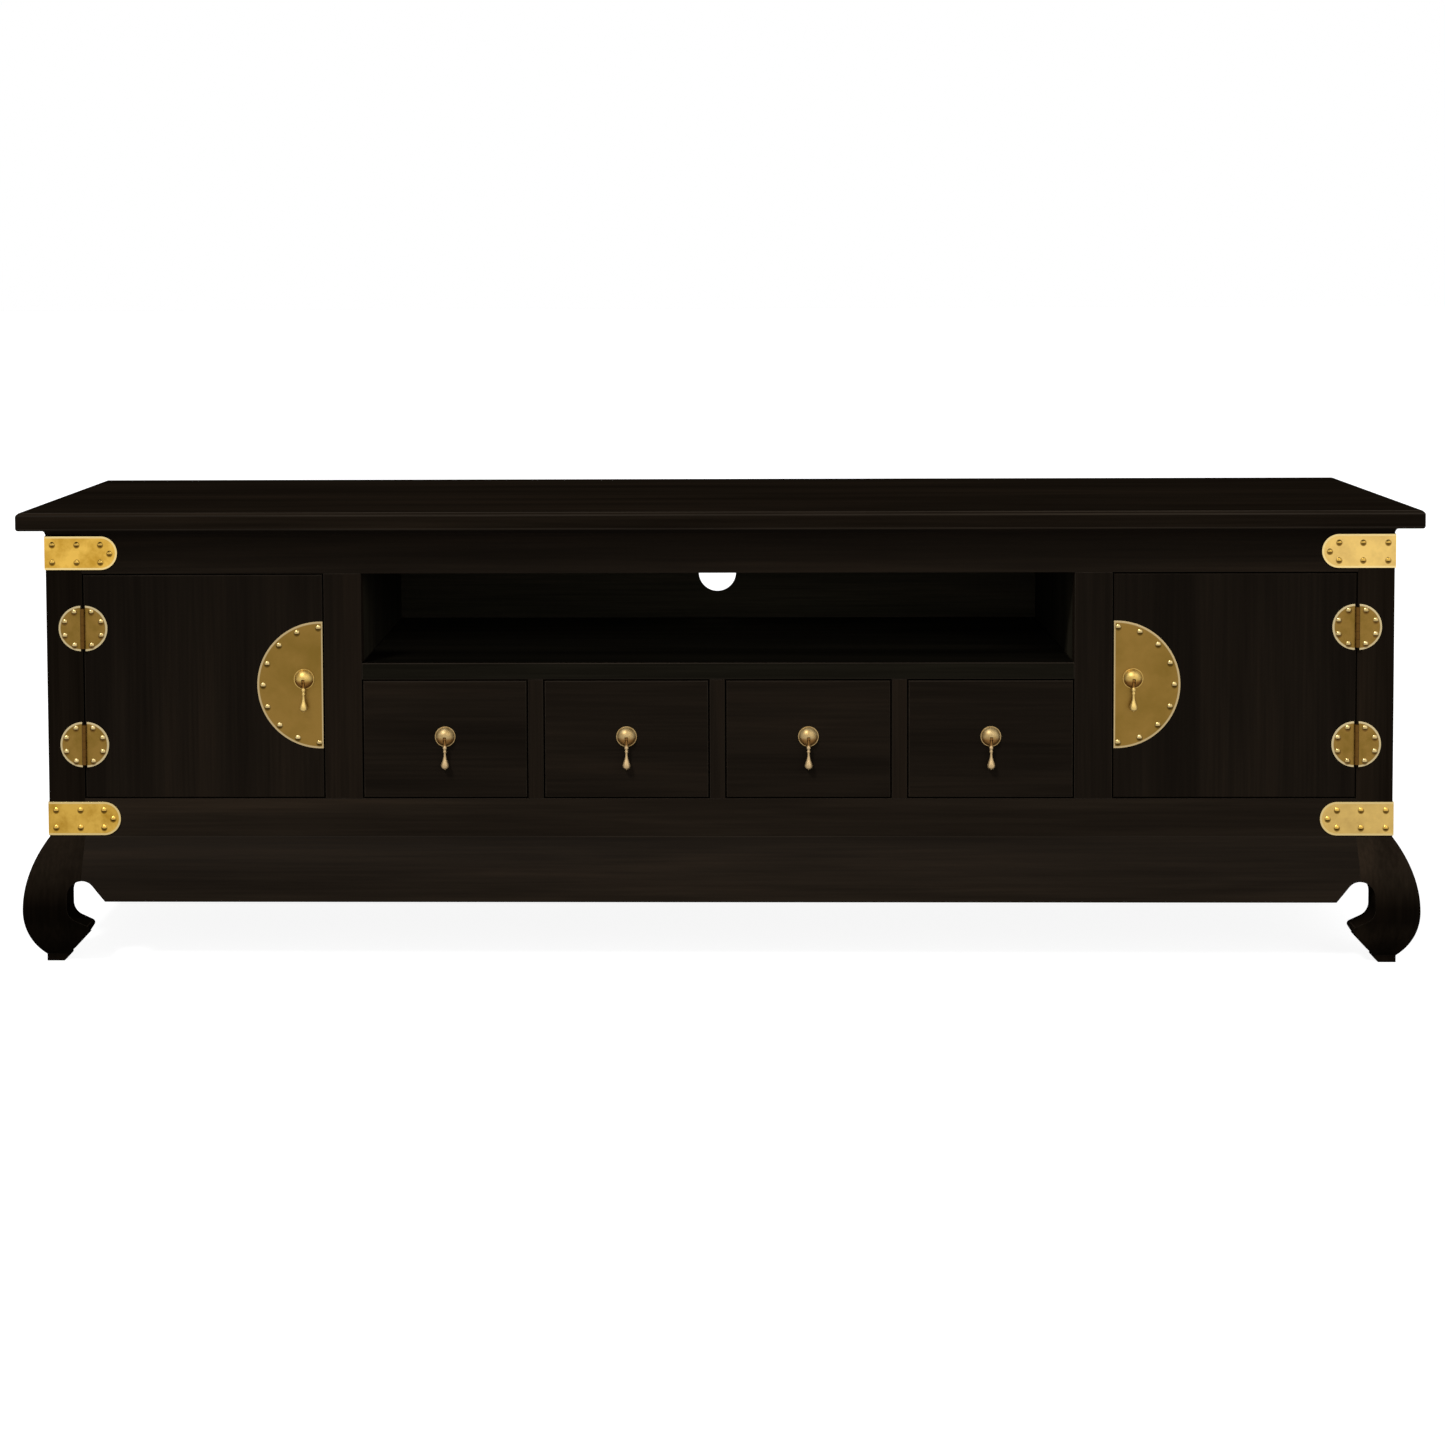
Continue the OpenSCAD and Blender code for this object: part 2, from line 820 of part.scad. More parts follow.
// The half of a hinge plate that lies towards -X, with its knuckles; the pin is at X = 0
module hinge_leaf(knuckles, bore_r) {
    segment = knuckle_l / 5;
    difference() {
        translate([-leaf_shift, 0, 0]) bevelled_disc(leaf_r);
        translate([-pin_out, -leaf_r - 1, -1]) cube([2 * leaf_r, 2 * leaf_r + 2, plate_t + 2]);
        nail_holes(hinge_nail_spots, plate_t);
    }
    for (k = knuckles) {
        translate([0, -knuckle_l / 2 + k * segment + 0.15, 0]) difference() {
            union() {
                translate([-pin_out - 0.5, 0, 0]) cube([pin_out + 0.5, segment - 0.3, plate_t]);
                translate([0, 0, pin_out]) rotate([-90, 0, 0]) cylinder(r = knuckle_r, h = segment - 0.3);
            }
            translate([0, -1, pin_out]) rotate([-90, 0, 0]) cylinder(r = bore_r, h = segment + 1);
        }
    }
}

module at_left_hinges() {
    for (z = hinge_heights) {
        translate([-hinge_x, front_y, z]) facing_front() children();
    }
}

module post_hinge_leaves() {
    color(brass) on_both_sides() at_left_hinges() hinge_leaf([0, 2, 4], pin_r);
}

module hinge_pins() {
    color(brass_dark) on_both_sides() at_left_hinges()
        translate([0, -knuckle_l / 2, pin_out]) rotate([-90, 0, 0]) cylinder(r = pin_r, h = knuckle_l);
}

module frame_nails() {
    color(brass) on_both_sides() {
        for (z = [lower_strap_z, upper_strap_z]) {
            translate([0, 0, z]) on_strap_legs() at_spots(strap_nail_spots) translate([0, 0, strap_t]) nail();
        }
        at_left_hinges() at_spots(hinge_nail_spots) translate([0, 0, plate_t]) nail();
    }
}

// Doors, drawn for the left side

// A board with chamfered front edges: low and high corners, front at the low Y
module eased_board(low, high) {
    size = high - low;
    cuts = function(w, t) [[0, ease], [ease, 0], [w - ease, 0], [w, ease], [w, t], [0, t]];
    intersection() {
        translate(low) linear_extrude(size[2]) polygon(cuts(size[0], size[1]));
        translate([low[0], high[1], low[2]]) rotate([90, 0, 90]) linear_extrude(size[0])
            polygon([for (p = cuts(size[2], size[1])) [p[1] - size[1], p[0]]]);
    }
}

module shaft_hole(x, z, thickness) {
    translate([x, front_y - 1, z]) rotate([-90, 0, 0]) cylinder(r = shaft_r + 0.1, h = thickness + 2);
}

module door() {
    color(wood) difference() {
        eased_board([-hinge_x + gap / 2, front_y, door_z], [-free_x, front_y + door_t, door_z + door_h]);
        shaft_hole(-door_pull_x, door_pull_z, door_t);
    }
}

module door_hinge_leaves() {
    color(brass) at_left_hinges() mirror([1, 0, 0]) hinge_leaf([1, 3], pin_r + pin_play);
}

module at_left_moon() {
    translate([-free_x - moon_in, front_y, moon_z]) facing_front() children();
}

module half_moon_plate() {
    color(brass) at_left_moon() difference() {
        bevelled_disc(moon_r);
        translate([moon_in, -moon_r - 1, -1]) cube([moon_r, 2 * moon_r + 2, plate_t + 2]);
        nail_holes(moon_nail_spots, plate_t);
        translate([moon_in - door_pull_in, door_pull_up, -1]) cylinder(r = shaft_r + 0.1, h = plate_t + 2);
    }
}

module door_nails() {
    color(brass) {
        at_left_hinges() mirror([1, 0, 0]) at_spots(hinge_nail_spots) translate([0, 0, plate_t]) nail();
        at_left_moon() at_spots(moon_nail_spots) translate([0, 0, plate_t]) nail();
    }
}

catch_x = free_x + 12 + catch_w / 2;

module catch_strike() {
    strike_h = catch_drop - 2 * gap;
    color(brass_dark) translate([-catch_x - catch_w / 2 + gap, front_y + door_t, lintel_z - gap - strike_h])
        cube([catch_w - 2 * gap, strike_t, strike_h - gap]);
}

module magnetic_catches() {
    magnet_y = front_y + door_t + strike_t + catch_gap;
    color("#6b5136") on_both_sides() {
        block(
            [-catch_x - catch_w / 2, rail_y, lintel_z - catch_drop],
            [-catch_x + catch_w / 2, rail_y + catch_d, lintel_z - catch_drop + catch_h]
        );
        block(
            [-catch_x - catch_w / 2, magnet_y, lintel_z - catch_drop],
            [-catch_x + catch_w / 2, rail_y + eps, lintel_z - gap]
        );
    }
}

// Drop pulls, drawn with the wood's or plate's face at Z = 0, up along Y and out along Z

module hang_pin(r, end_play) {
    length = dome_r * 1.2 + 2 * end_play;
    translate([-length / 2, 0, 0]) rotate([0, 90, 0]) cylinder(r = r, h = length);
}

// The boss with its shank through the wood, the pin across its slot and the nut behind the wood
module pull_mount(through) {
    ball_r = (dome_r * dome_r + dome_h * dome_h) / (2 * dome_h);
    slot_w = eye_w + 0.6;
    difference() {
        union() {
            cylinder(r = boss_r, h = boss_base_t);
            translate([0, 0, boss_base_t]) rotate_extrude() intersection() {
                translate([0, dome_h - ball_r]) circle(ball_r);
                square([dome_r, dome_h]);
            }
            translate([0, 0, -through - nut_h - 1.5]) cylinder(r = shaft_r, h = through + nut_h + 2);
        }
        translate([0, -hang_down, hang_out]) {
            translate([-slot_w / 2, 0, 0]) rotate([0, 90, 0]) cylinder(r = eye_r + 0.5, h = slot_w);
            translate([-slot_w / 2, -2 * boss_r, 0]) cube([slot_w, 2 * boss_r + 2.6, dome_h]);
            translate([-slot_w / 2, -2 * boss_r, -2.4]) cube([slot_w, 2 * boss_r, dome_h]);
            hang_pin(hang_pin_r + pin_play, pin_play);
        }
    }
    translate([0, -hang_down, hang_out]) hang_pin(hang_pin_r, 0);
    translate([0, 0, -through - nut_h]) difference() {
        cylinder(r = nut_r, h = nut_h, $fn = 6);
        translate([0, 0, -1]) cylinder(r = shaft_r + pin_play, h = nut_h + 2);
    }
}

// The drop's turned outline: radius against distance below the pin, with a thin neck that swells to a teardrop
module drop_outline() {
    neck_r = 1.7;
    bulb_z = drop_l - drop_r * 1.4;
    square([neck_r, bulb_z]);
    for (bead = [[0.3, 3], [0.42, 2.4]]) {
        translate([0, bead[0] * drop_l]) intersection() {
            circle(bead[1]);
            translate([0, -bead[1]]) square([bead[1], 2 * bead[1]]);
        }
    }
    intersection() {
        translate([0, bulb_z]) circle(drop_r);
        translate([0, bulb_z - drop_r]) square([drop_r, 2 * drop_r]);
    }
    polygon([
        [0, bulb_z - 16],
        [neck_r, bulb_z - 16],
        [neck_r * 1.5, bulb_z - 11],
        [drop_r * 0.74, bulb_z - drop_r],
        [drop_r * cos(15), bulb_z - drop_r * sin(15)],
        [drop_r * cos(15), bulb_z],
        [0, bulb_z]
    ]);
    translate([0, bulb_z]) square([1.3, drop_l - bulb_z]);
}

module drop() {
    difference() {
        union() {
            rotate([90, 0, 0]) rotate_extrude() drop_outline();
            translate([-eye_w / 2, 0, 0]) rotate([0, 90, 0]) cylinder(r = eye_r, h = eye_w);
        }
        translate([-eye_w, 0, 0]) rotate([0, 90, 0]) cylinder(r = hang_pin_r + pin_play, h = 2 * eye_w);
    }
}

module at_door_pull() {
    translate([-door_pull_x, front_y - plate_t, door_pull_z]) facing_front() children();
}

module door_pull_mount() {
    color(brass_bright) at_door_pull() pull_mount(door_t + plate_t);
}

module door_drop() {
    color(brass_bright) at_door_pull() translate([0, -hang_down, hang_out]) drop();
}

// Drawers

module drawer_front(i) {
    color(wood) difference() {
        eased_board(
            [drawer_x(i) - drawer_front_w / 2, front_y, sill_z + gap],
            [drawer_x(i) + drawer_front_w / 2, front_y + front_t, sill_z + gap + drawer_front_h]
        );
        shaft_hole(drawer_x(i), drawer_pull_z, front_t);
    }
}

// Two sides, a back and a bottom that is let into grooves in them
module drawer_box(i) {
    inner = drawer_w / 2 - side_t;
    floor_w = inner + side_t / 2;
    back_w = inner - glue_gap;
    floor_top = floor_up + floor_t;
    color(wood_inside) translate([drawer_x(i), front_y + front_t, drawer_z]) {
        difference() {
            for (x = [-drawer_w / 2, inner]) {
                translate([x, 0, 0]) cube([side_t, side_l, side_h]);
            }
            block([-floor_w - glue_gap, -eps, floor_up - glue_gap], [floor_w + glue_gap, side_l + eps, floor_top + glue_gap]);
        }
        block([-back_w, side_l - side_t, floor_top + glue_gap], [back_w, side_l, side_h]);
        block([-floor_w, 0, floor_up], [floor_w, side_l, floor_top]);
    }
}

module at_drawer_pull(i) {
    translate([drawer_x(i), front_y, drawer_pull_z]) facing_front() children();
}

module drawer_pull_mount(i) {
    color(brass_bright) at_drawer_pull(i) pull_mount(front_t);
}

module drawer_drop(i) {
    color(brass_bright) at_drawer_pull(i) translate([0, -hang_down, hang_out]) drop();
}

top_board();
cove_moulding();
front_post_left();
front_post_right();
rear_post_left();
rear_post_right();
frieze_rail();
front_apron();
stile_left();
stile_right();
side_rail_left();
side_rail_right();
side_apron_left();
side_apron_right();
side_panel_left();
side_panel_right();
rear_rail();
rear_apron();
back_panel();
bottom_board();
partition_left();
partition_right();
media_shelf();
drawer_dividers();
drawer_stops();
corner_straps();
frame_nails();
post_hinge_leaves();
hinge_pins();
magnetic_catches();

door();  // door_left
door_hinge_leaves();  // door_hinge_leaves_left
half_moon_plate();  // half_moon_plate_left
door_nails();  // door_nails_left
catch_strike();  // catch_strike_left
door_pull_mount();  // door_pull_mount_left
door_drop();  // door_drop_left
on_right() door();  // door_right
on_right() door_hinge_leaves();  // door_hinge_leaves_right
on_right() half_moon_plate();  // half_moon_plate_right
on_right() door_nails();  // door_nails_right
on_right() catch_strike();  // catch_strike_right
on_right() door_pull_mount();  // door_pull_mount_right
on_right() door_drop();  // door_drop_right

for (i = [1 : drawer_count]) {
    drawer_front(i);
    drawer_box(i);
    drawer_pull_mount(i);
    drawer_drop(i);
}
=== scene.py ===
# TV cabinet with horse-hoof legs: finishes, fittings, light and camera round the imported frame
import json
import math

import bpy
from mathutils import Matrix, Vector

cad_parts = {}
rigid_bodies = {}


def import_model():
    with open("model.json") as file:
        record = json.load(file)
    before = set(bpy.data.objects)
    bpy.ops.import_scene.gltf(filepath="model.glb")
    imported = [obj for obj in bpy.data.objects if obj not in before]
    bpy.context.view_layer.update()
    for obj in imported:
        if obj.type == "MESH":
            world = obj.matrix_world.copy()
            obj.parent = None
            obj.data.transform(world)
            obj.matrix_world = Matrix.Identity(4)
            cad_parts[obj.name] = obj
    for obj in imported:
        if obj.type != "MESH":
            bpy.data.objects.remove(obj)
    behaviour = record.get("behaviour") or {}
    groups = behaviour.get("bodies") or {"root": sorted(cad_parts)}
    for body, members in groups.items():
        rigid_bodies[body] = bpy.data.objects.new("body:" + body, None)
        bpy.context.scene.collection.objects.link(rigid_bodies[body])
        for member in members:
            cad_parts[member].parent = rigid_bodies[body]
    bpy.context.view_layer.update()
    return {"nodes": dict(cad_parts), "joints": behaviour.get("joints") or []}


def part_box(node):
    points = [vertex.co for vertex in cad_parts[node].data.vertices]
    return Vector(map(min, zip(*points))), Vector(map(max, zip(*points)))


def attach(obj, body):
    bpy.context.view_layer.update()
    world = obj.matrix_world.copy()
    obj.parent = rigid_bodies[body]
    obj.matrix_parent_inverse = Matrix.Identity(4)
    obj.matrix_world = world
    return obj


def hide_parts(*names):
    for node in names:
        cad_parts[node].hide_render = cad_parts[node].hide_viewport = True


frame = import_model()
nodes = frame["nodes"]
bodyOf = {name: node.parent.name.removeprefix("body:") for name, node in nodes.items()}
pinOf = {joint["child"]: joint["pos_m"] for joint in frame["joints"] if joint["type"] == "hinge"}
sides = ("left", "right")
drawers = range(1, 5)
print("frame loaded,", len(nodes), "nodes")


# Small helpers for objects

def deselectAll():
    bpy.ops.object.select_all(action="DESELECT")


def pick(obj):
    deselectAll()
    obj.select_set(True)
    bpy.context.view_layer.objects.active = obj


def editAll():
    bpy.ops.object.mode_set(mode="EDIT")
    bpy.ops.mesh.select_all(action="SELECT")


def leaveEdit():
    bpy.ops.object.mode_set(mode="OBJECT")


def newObject(name, mesh):
    made = bpy.data.objects.new(name, mesh)
    bpy.context.scene.collection.objects.link(made)
    return made


def applyPlace():
    bpy.ops.object.transform_apply(location=True, rotation=True, scale=True)


def cutAway(piece, cutter):
    pick(piece)
    cut = piece.modifiers.new("cutAway", "BOOLEAN")
    cut.operation = "DIFFERENCE"
    cut.object = cutter
    bpy.ops.object.modifier_apply(modifier=cut.name)
    bpy.data.objects.remove(cutter)


def paint(obj, *materials):
    obj.data.materials.clear()
    for material in materials:
        obj.data.materials.append(material)


# Small helpers for materials

def addNode(tree, kind, settings=None, **sockets):
    made = tree.nodes.new(kind)
    for key, value in (settings or {}).items():
        setattr(made, key, value)
    for key, value in sockets.items():
        made.inputs[key.replace("_", " ")].default_value = value
    return made


def feed(tree, socket, value):
    if isinstance(value, (int, float, tuple)):
        socket.default_value = value
    else:
        tree.links.new(value, socket)


def calc(tree, operation, *values):
    made = addNode(tree, "ShaderNodeMath", {"operation": operation})
    for socket, value in zip(made.inputs, values):
        feed(tree, socket, value)
    return made.outputs[0]


def ramped(tree, value, fromLow, fromHigh, toLow=0.0, toHigh=1.0, smooth=False):
    kind = "SMOOTHSTEP" if smooth else "LINEAR"
    made = addNode(tree, "ShaderNodeMapRange", {"interpolation_type": kind})
    for key, number in (("From Min", fromLow), ("From Max", fromHigh), ("To Min", toLow), ("To Max", toHigh)):
        made.inputs[key].default_value = number
    tree.links.new(value, made.inputs["Value"])
    return made.outputs[0]


def mixed(tree, factor, first, second):
    made = addNode(tree, "ShaderNodeMix", {"data_type": "RGBA"})
    for key, value in (("A", first), ("B", second)):
        feed(tree, [s for s in made.inputs if s.name == key and s.type == "RGBA"][0], value)
    tree.links.new(factor, made.inputs["Factor"])
    return [s for s in made.outputs if s.type == "RGBA"][0]


def scaled(tree, colour, factor):
    made = addNode(tree, "ShaderNodeVectorMath", {"operation": "SCALE"})
    tree.links.new(colour, made.inputs[0])
    tree.links.new(factor, made.inputs["Scale"])
    return made.outputs[0]


def noise(tree, point, **settings):
    made = addNode(tree, "ShaderNodeTexNoise", **settings)
    tree.links.new(point, made.inputs["Vector"])
    return made.outputs["Fac"]


def split(tree, vector):
    made = addNode(tree, "ShaderNodeSeparateXYZ")
    tree.links.new(vector, made.inputs[0])
    return made.outputs


def coordinates(tree):
    return addNode(tree, "ShaderNodeTexCoord").outputs


def newTree(name):
    material = bpy.data.materials.new(name)
    material.use_nodes = True
    tree = material.node_tree
    return material, tree, tree.nodes["Principled BSDF"]


def dress(tree, surface, colour, gloss, height, bump):
    strength, distance = bump
    raised = addNode(tree, "ShaderNodeBump", Strength=strength, Distance=distance)
    tree.links.new(height, raised.inputs["Height"])
    for key, output in (("Base Color", colour), ("Roughness", gloss), ("Normal", raised.outputs[0])):
        tree.links.new(output, surface.inputs[key])


def seenDirectly(tree):
    # 1 for what the camera sees, also in metal or through glass, and 0 for the light it gives
    path = addNode(tree, "ShaderNodeLightPath").outputs
    seen = calc(tree, "MAXIMUM", path["Is Camera Ray"], path["Is Glossy Ray"])
    return calc(tree, "MAXIMUM", seen, path["Is Transmission Ray"])


# Camera

cameraView = {
    "place": (0.007, -3.5751, 1.0191),
    "turn": 1.02,        # degrees to the left
    "tilt": 2.584,       # degrees down
    "roll": -0.233,      # degrees
    "lens": 58.69,
    "shiftX": 0.03,
    "shiftY": -0.25,
}

deselectAll()
bpy.ops.object.camera_add(location=cameraView["place"])
camera = bpy.context.object
turned = Matrix.Rotation(math.radians(cameraView["turn"]), 3, "Z")
tilted = Matrix.Rotation(math.radians(90 - cameraView["tilt"]), 3, "X")
rolled = Matrix.Rotation(math.radians(cameraView["roll"]), 3, "Z")
camera.rotation_euler = (turned @ tilted @ rolled).to_euler()
camera.data.lens = cameraView["lens"]
camera.data.shift_x = cameraView["shiftX"]
camera.data.shift_y = cameraView["shiftY"]
bpy.context.scene.camera = camera
print("camera placed")


# Floor, world and lamps

studio = {
    "white": (1, 1, 1, 1),
    "floorSize": 80,
    "floorColour": (0.26, 0.26, 0.26, 1),
    "floorRoughness": 0.9,
    "floorSpecular": 0.1,
    "floorGlow": 0.9,       # added where the camera looks, so that the floor is white
    "worldStrength": 0.55,
    "lampsAt": (0, 0, 3),
    "lamps": [
        # name, height angle, side angle, strength, softness
        ("keyLamp", 50, -34, 2.3, 12),
        ("fillLamp", 30, 38, 0.8, 45),
        ("backLamp", 60, 160, 0.3, 50),
    ],
}

deselectAll()
bpy.ops.mesh.primitive_plane_add(size=studio["floorSize"], location=(0, 0, 0))
floor = bpy.context.object
floor.name = "floor"
palePaper, tree, surface = newTree("palePaper")
surface.inputs["Base Color"].default_value = studio["floorColour"]
surface.inputs["Roughness"].default_value = studio["floorRoughness"]
surface.inputs["Specular IOR Level"].default_value = studio["floorSpecular"]
surface.inputs["Emission Color"].default_value = studio["white"]
glow = calc(tree, "MULTIPLY", seenDirectly(tree), studio["floorGlow"])
tree.links.new(glow, surface.inputs["Emission Strength"])
paint(floor, palePaper)

world = bpy.data.worlds.new("studioWorld")
bpy.context.scene.world = world
world.use_nodes = True
tree = world.node_tree
background = tree.nodes["Background"]
background.inputs["Color"].default_value = studio["white"]
worldShine = ramped(tree, seenDirectly(tree), 0, 1, studio["worldStrength"], 1.0)
tree.links.new(worldShine, background.inputs["Strength"])

for name, height, side, strength, softness in studio["lamps"]:
    deselectAll()
    bpy.ops.object.light_add(type="SUN", location=studio["lampsAt"])
    lamp = bpy.context.object
    lamp.name = name
    lamp.rotation_euler = (math.radians(90 - height), 0, math.radians(side))
    lamp.data.energy = strength
    lamp.data.angle = math.radians(softness)

bpy.context.scene.view_settings.view_transform = "Standard"
print("studio ready")


# Wood finishes

espresso = {
    "dark": (0.0066, 0.0046, 0.003, 1),
    "middle": (0.0094, 0.0066, 0.0043, 1),
    "red": (0.0138, 0.0092, 0.0058, 1),
    "toneStops": (0.34, 0.52, 0.72),       # where these three stand in the figure's noise
    "figure": {"Scale": 1.0, "Detail": 5.0, "Roughness": 0.55, "Distortion": 0.4},
    "figureStretch": (17, 1.1),            # across and along the grain
    "fibre": {"Scale": 1.0, "Detail": 3.0, "Roughness": 0.6},
    "fibreStretch": (260, 5),
    "fibreTone": (0.35, 0.7, 0.8, 1.16),   # noise from and to, tone from and to
    "shiftShares": (1, 0.7, 1.3),          # how a board's shift moves its noise along x, y and z
    "fibreShift": 3,                       # added to the shift, so that fibre and figure differ
    "glossSpan": (0.3, 0.7),
    "roughness": (0.5, 0.64),
    "specular": 0.015,
    "bump": (0.12, 0.0004),                # strength and distance
}
topWood = dict(espresso, specular=0.0, roughness=(0.8, 0.9))
postWood = dict(espresso, specular=0.0)
nicheWood = dict(
    topWood,
    dark=(0.0066, 0.0058, 0.0039, 1),
    middle=(0.0094, 0.0081, 0.0054, 1),
    red=(0.0138, 0.0115, 0.0076, 1),
)
# lighter bevels: part wear along the edges, part painted highlight along the arrises
wornEdge = dict(
    espresso,
    dark=(0.0145, 0.0112, 0.0082, 1),
    middle=(0.0195, 0.015, 0.011, 1),
    red=(0.025, 0.0188, 0.0132, 1),
    specular=0.0,
)
boxWood = dict(
    espresso,
    dark=(0.055, 0.026, 0.012, 1),
    middle=(0.085, 0.042, 0.02, 1),
    red=(0.12, 0.06, 0.03, 1),
    specular=0.2,
)


def legPaintedShading(hoof, ankle, knee, post):
    # painted light and shade on the legs, from the floor up: the hoof, the dark ankle above it, the knee, and
    # the post above the leg
    return [
        ("z", 0.045, 0.065, hoof, 1.0),
        ("z", 0.085, 0.14, ankle, knee),
        ("z", 0.185, 0.21, 1.0, post),
    ]


paintedShading = {
    # painted light and shade as lighter and darker zones: axis, from and to in metres, and the factors at
    # both ends
    "front_post_left": legPaintedShading(1.65, 0.27, 1.06, 0.7),
    "front_post_right": legPaintedShading(2.0, 0.4, 1.46, 0.72),
    "rear_post_left": legPaintedShading(1.8, 0.33, 1.2, 0.72),
    "rear_post_right": legPaintedShading(1.8, 0.33, 1.2, 0.72),
    # painted shade on the top's upper face, and painted light towards the top of its front edge
    "top_board": [("z", 0.6538, 0.6547, 1.0, 0.6), ("z", 0.628, 0.655, 1.0, 1.1)],
    # painted shadow on the niche floor's front, painted light deeper in the niche, on its back and on its
    # sides above the shelf
    "media_shelf": [("z", 0.4322, 0.4328, 0.94, 0.3), ("y", -0.12, -0.06, 1.0, 9.0)],
    "back_panel": [("y", 0.2162, 0.217, 5.5, 1.0)],
    "partition_left": [("z", 0.433, 0.4331, 1.0, 2.2)],
    "partition_right": [("z", 0.433, 0.4331, 1.0, 2.2)],
    # painted light on the apron's flare and on the frieze
    "front_apron": [("z", 0.1, 0.18, 1.3, 1.02), ("z", 0.178, 0.184, 1.0, 1.42)],
    "frieze_rail": [("z", 0.56, 0.63, 1.12, 1.3)],
    # painted shade on the doors and stiles, darker towards the top
    "door_left": [("z", 0.25, 0.55, 0.94, 0.78)],
    "door_right": [("z", 0.25, 0.55, 0.94, 0.8)],
    "stile_left": [("z", 0.25, 0.55, 0.84, 0.78)],
    "stile_right": [("z", 0.25, 0.55, 0.92, 0.84)],
}


def woodMaterial(name, finish, grain, shift, paintedZones=()):
    material, tree, surface = newTree(name)
    coords = coordinates(tree)

    def stretched(stretch, offset):
        across, along = stretch
        scale = [across, across, across]
        scale["xyz".index(grain)] = along
        moved = [offset * share for share in finish["shiftShares"]]
        mapping = addNode(tree, "ShaderNodeMapping", Location=moved, Scale=scale)
        tree.links.new(coords["Object"], mapping.inputs["Vector"])
        return mapping.outputs[0]

    figure = noise(tree, stretched(finish["figureStretch"], shift), **finish["figure"])
    fibre = noise(tree, stretched(finish["fibreStretch"], shift + finish["fibreShift"]), **finish["fibre"])

    ramp = addNode(tree, "ShaderNodeValToRGB")
    tones = ramp.color_ramp.elements
    darkStop, middleStop, redStop = finish["toneStops"]
    tones[0].position = darkStop
    tones[0].color = finish["dark"]
    tones[1].position = redStop
    tones[1].color = finish["red"]
    middle = tones.new(middleStop)
    middle.color = finish["middle"]
    tree.links.new(figure, ramp.inputs["Fac"])

    tone = ramped(tree, fibre, *finish["fibreTone"])
    place = split(tree, coords["Object"])
    # the painted light and shade zones scale the grain's tone
    for axis, low, high, lowTone, highTone in paintedZones:
        paintedZone = ramped(tree, place["xyz".index(axis)], low, high, lowTone, highTone)
        tone = calc(tree, "MULTIPLY", tone, paintedZone)

    gloss = ramped(tree, fibre, *finish["glossSpan"], *finish["roughness"])
    surface.inputs["Specular IOR Level"].default_value = finish["specular"]
    dress(tree, surface, scaled(tree, ramp.outputs["Color"], tone), gloss, fibre, finish["bump"])
    return material


# Boards with softened edges: a merged copy of each board stands for it

edgeWork = {
    "mergeReach": 0.00002,      # joins the loose triangles of a copied mesh
    "flatAngle": 0.3,           # degrees: faces as flat to each other as this become one
    "sliverBefore": 0.00003,    # edges up to this length are cleared before a bevel
    "sliverAfter": 0.000002,    # and after it
    "steps": 2,
    "bevelFrom": 32,            # degrees between the two faces at an edge
    "smoothUpTo": 34,
    "flatWeight": 80,
}


def mergedCopy(name, pieceName):
    piece = newObject(pieceName, nodes[name].data.copy())
    pick(piece)
    editAll()
    bpy.ops.mesh.remove_doubles(threshold=edgeWork["mergeReach"])
    bpy.ops.mesh.dissolve_limited(angle_limit=math.radians(edgeWork["flatAngle"]))
    leaveEdit()
    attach(piece, bodyOf[name])
    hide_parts(name)
    return piece


def smooth(piece, angle):
    pick(piece)
    bpy.ops.object.shade_smooth_by_angle(angle=math.radians(angle))
    weighted = piece.modifiers.new("flatFaces", "WEIGHTED_NORMAL")
    weighted.keep_sharp = True
    weighted.weight = edgeWork["flatWeight"]
    bpy.ops.object.modifier_apply(modifier=weighted.name)


def dropSlivers(piece, reach):
    pick(piece)
    editAll()
    bpy.ops.mesh.dissolve_degenerate(threshold=reach)
    leaveEdit()


def soften(piece, width, steps=edgeWork["steps"], material=1):
    dropSlivers(piece, edgeWork["sliverBefore"])
    bevel = piece.modifiers.new("softEdge", "BEVEL")
    bevel.width = width
    bevel.segments = steps
    bevel.limit_method = "ANGLE"
    bevel.angle_limit = math.radians(edgeWork["bevelFrom"])
    bevel.material = material
    bpy.ops.object.modifier_apply(modifier=bevel.name)
    dropSlivers(piece, edgeWork["sliverAfter"])
    smooth(piece, edgeWork["smoothUpTo"])


boards = {
    # grain direction: {node: width of the softened edge in metres}
    "z": {
        "front_post_left": 0.0009, "front_post_right": 0.0009, "rear_post_left": 0.0009,
        "rear_post_right": 0.0009, "stile_left": 0.0008, "stile_right": 0.0008, "side_panel_left": 0.0005,
        "side_panel_right": 0.0005, "door_left": 0.0009, "door_right": 0.0009, "partition_left": 0.0006,
        "partition_right": 0.0006, "drawer_dividers": 0.0008,
    },
    "x": {
        "top_board": 0.0014, "cove_moulding": 0.0003, "frieze_rail": 0.0006, "front_apron": 0.0009,
        "rear_rail": 0.0005, "rear_apron": 0.0009, "back_panel": 0.0005, "bottom_board": 0.0005,
        "media_shelf": 0.0012, "drawer_1_front": 0.0009, "drawer_2_front": 0.0009, "drawer_3_front": 0.0009,
        "drawer_4_front": 0.0009, "drawer_stops": 0.0005,
    },
    "y": {
        "side_rail_left": 0.0005, "side_rail_right": 0.0005, "side_apron_left": 0.0009,
        "side_apron_right": 0.0009, "drawer_1_box": 0.0004, "drawer_2_box": 0.0004, "drawer_3_box": 0.0004,
        "drawer_4_box": 0.0004,
    },
}
finishOf = {"top_board": topWood, "drawer_stops": boxWood}
